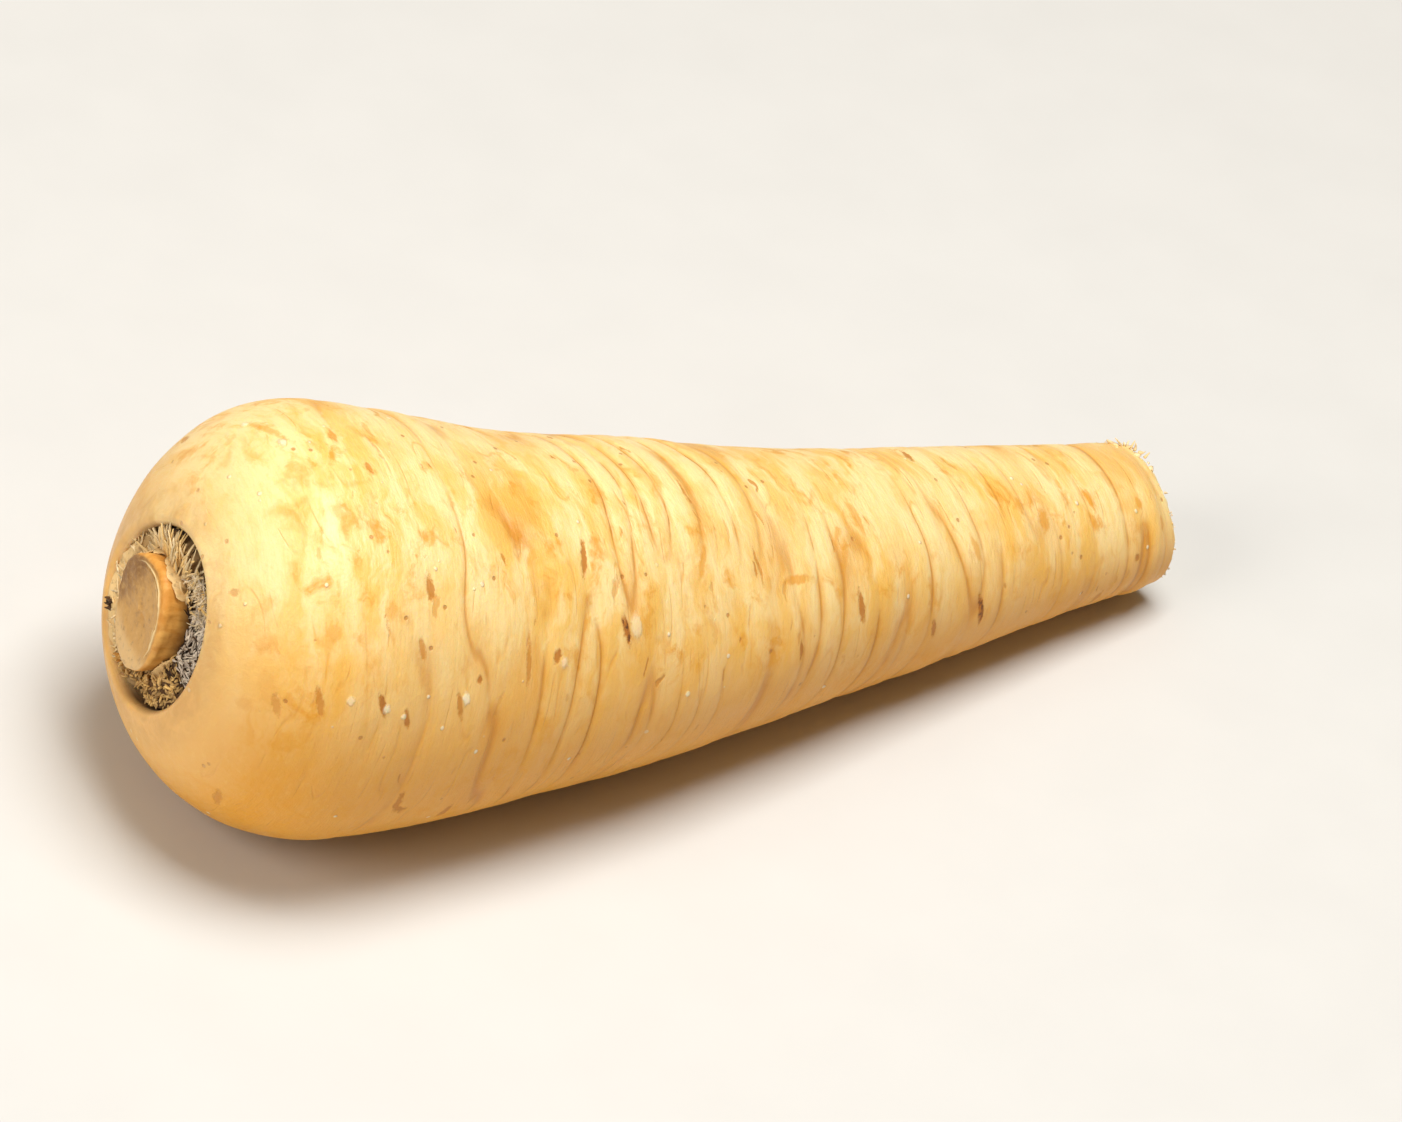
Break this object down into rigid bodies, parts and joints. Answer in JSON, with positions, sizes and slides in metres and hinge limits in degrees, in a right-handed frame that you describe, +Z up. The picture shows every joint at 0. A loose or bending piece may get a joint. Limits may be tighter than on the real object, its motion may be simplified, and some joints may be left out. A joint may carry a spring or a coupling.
{
  "type": "parsnip",
  "caption": "Parsnip lying on its side: a stout cream root, gently bent, tapering to a blunt trimmed tip, with a cut leafstalk stub and dried leaf bases in its sunken crown",
  "frame": {"origin": "The bottom centre of the bounding box, on the surface the root lies on.", "axes": "+X runs along the root from its crown to its trimmed tip, +Y is the side the tip bends towards, and +Z is up."},
  "size_m": [0.1576, 0.0616, 0.0529],
  "materials": {
    "parsnip_skin": "satin",
    "cut_leafstalk": "matte",
    "dried_leaf_base": "matte",
    "papery_sheath": "matte"
  },
  "bodies": {
    "root": {"root": "parsnip_skin", "leafstalk_stub": "cut_leafstalk", "leaf_base_collar": "dried_leaf_base", "sheath_flake_1": "papery_sheath", "sheath_flake_2": "papery_sheath", "sheath_flake_3": "papery_sheath", "sheath_flake_4": "papery_sheath"}
  },
  "joints": []
}
